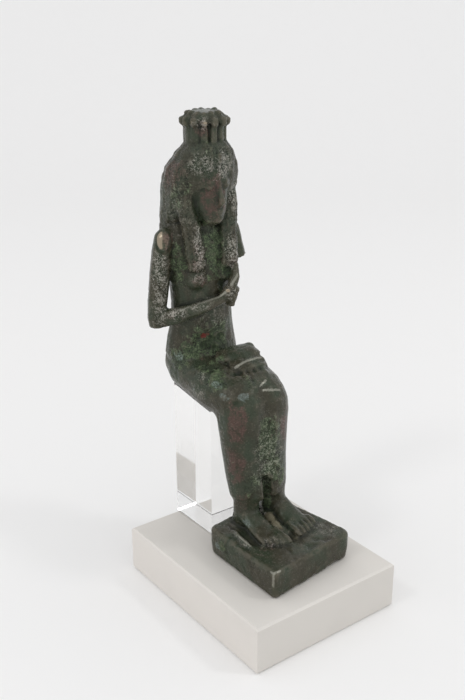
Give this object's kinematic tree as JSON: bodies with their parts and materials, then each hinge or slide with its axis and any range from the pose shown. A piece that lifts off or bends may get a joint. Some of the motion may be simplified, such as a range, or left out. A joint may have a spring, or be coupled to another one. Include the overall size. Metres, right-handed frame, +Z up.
{
  "type": "seated goddess statuette on an acrylic display stand",
  "caption": "Small solid-cast bronze of a seated goddess with one broken arm, on its low plinth, held up by a clear acrylic post on an acrylic block.",
  "frame": {"origin": "middle of the underside of the acrylic block", "axes": "+Z up through the crown, -Y the way the figure faces, -X her proper right"},
  "size_m": [0.0448, 0.0639, 0.1234],
  "materials": {
    "patinated_bronze": "dark bronze patina with green and brown corrosion, worn and pitted",
    "clear_acrylic": "clear polished acrylic",
    "matt_acrylic": "frosted acrylic"
  },
  "bodies": {
    "root": {"figure": "patinated_bronze", "stand_post": "clear_acrylic", "stand_foot": "matt_acrylic"}
  },
  "joints": []
}
